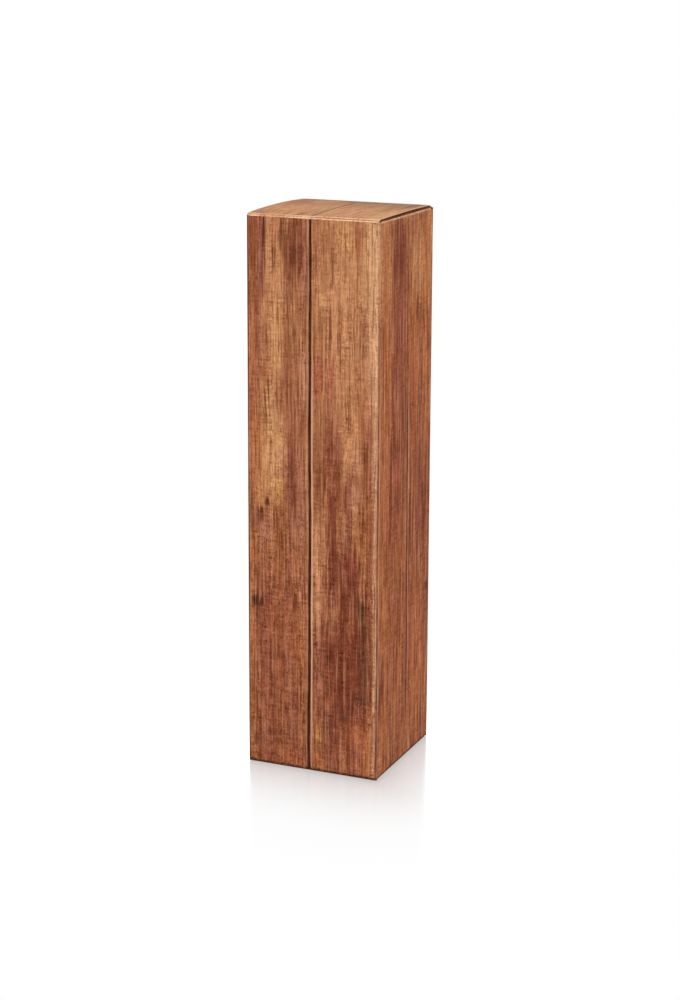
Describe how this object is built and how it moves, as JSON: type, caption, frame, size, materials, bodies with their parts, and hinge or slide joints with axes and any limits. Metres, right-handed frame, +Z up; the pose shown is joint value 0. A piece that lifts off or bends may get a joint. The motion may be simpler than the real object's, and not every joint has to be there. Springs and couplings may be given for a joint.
{
  "type": "folding wine carton",
  "caption": "Tall square folding carton for one wine bottle, corrugated board with a wood-plank print, hinged tuck-in lid, dust flaps and a self-locking base.",
  "frame": {"origin": "centre of the base on the floor", "axes": "+Z up, -Y out of the wall that carries the lid, +X to the right as that wall is faced"},
  "size_m": [0.09, 0.09, 0.36],
  "materials": {
    "printed_liner": "satin print",
    "fluting": "raw kraft",
    "inner_liner": "raw kraft",
    "printed_fold": "satin print",
    "glue": "dried film"
  },
  "bodies": {
    "carton": {"back_right_corner_fold": "printed_fold", "back_wall_fluting": "fluting", "back_wall_inner_liner": "inner_liner", "back_wall_printed_liner": "printed_liner", "base_back_flap_fluting": "fluting", "base_back_flap_inner_liner": "inner_liner", "base_back_flap_printed_liner": "printed_liner", "base_back_fold": "printed_fold", "base_front_flap_fluting": "fluting", "base_front_flap_inner_liner": "inner_liner", "base_front_flap_printed_liner": "printed_liner", "base_front_fold": "printed_fold", "base_glue": "glue", "base_left_flap_fluting": "fluting", "base_left_flap_inner_liner": "inner_liner", "base_left_flap_printed_liner": "printed_liner", "base_left_fold": "printed_fold", "base_right_flap_fluting": "fluting", "base_right_flap_inner_liner": "inner_liner", "base_right_flap_printed_liner": "printed_liner", "base_right_fold": "printed_fold", "front_left_corner_fold": "printed_fold", "front_right_corner_fold": "printed_fold", "front_wall_fluting": "fluting", "front_wall_inner_liner": "inner_liner", "front_wall_printed_liner": "printed_liner", "glue_flap_fluting": "fluting", "glue_flap_fold": "printed_fold", "glue_flap_inner_liner": "inner_liner", "glue_flap_printed_liner": "printed_liner", "left_dust_flap_crease": "printed_fold", "left_wall_fluting": "fluting", "left_wall_inner_liner": "inner_liner", "left_wall_printed_liner": "printed_liner", "lid_crease": "printed_fold", "right_dust_flap_crease": "printed_fold", "right_wall_fluting": "fluting", "right_wall_inner_liner": "inner_liner", "right_wall_printed_liner": "printed_liner", "side_seam_glue": "glue"},
    "lid": {"lid_fluting": "fluting", "lid_inner_liner": "inner_liner", "lid_printed_liner": "printed_liner", "tuck_flap_crease": "printed_fold"},
    "tuck_flap": {"tuck_flap_fluting": "fluting", "tuck_flap_inner_liner": "inner_liner", "tuck_flap_printed_liner": "printed_liner"},
    "right_dust_flap": {"right_dust_flap_fluting": "fluting", "right_dust_flap_inner_liner": "inner_liner", "right_dust_flap_printed_liner": "printed_liner"},
    "left_dust_flap": {"left_dust_flap_fluting": "fluting", "left_dust_flap_inner_liner": "inner_liner", "left_dust_flap_printed_liner": "printed_liner"}
  },
  "joints": [
    {"name": "lid_fold", "type": "hinge", "parent": "carton", "child": "lid", "pos_m": [0, -0.04445, 0.35845], "axis": [1, 0, 0], "range_deg": [0, 180]},
    {"name": "tuck_fold", "type": "hinge", "parent": "lid", "child": "tuck_flap", "pos_m": [0, 0.04285, 0.35845], "axis": [1, 0, 0], "range_deg": [0, 81]},
    {"name": "left_dust_fold", "type": "hinge", "parent": "carton", "child": "left_dust_flap", "pos_m": [-0.04445, 0, 0.3572], "axis": [0, -1, 0], "range_deg": [0, 90]},
    {"name": "right_dust_fold", "type": "hinge", "parent": "carton", "child": "right_dust_flap", "pos_m": [0.04445, 0, 0.3572], "axis": [0, 1, 0], "range_deg": [0, 90]}
  ],
  "couplings": [
    {"joint": "tuck_fold", "follows": "lid_fold", "ratio": 0.45},
    {"joint": "left_dust_fold", "follows": "lid_fold", "ratio": 0.5},
    {"joint": "right_dust_fold", "follows": "lid_fold", "ratio": 0.5}
  ]
}
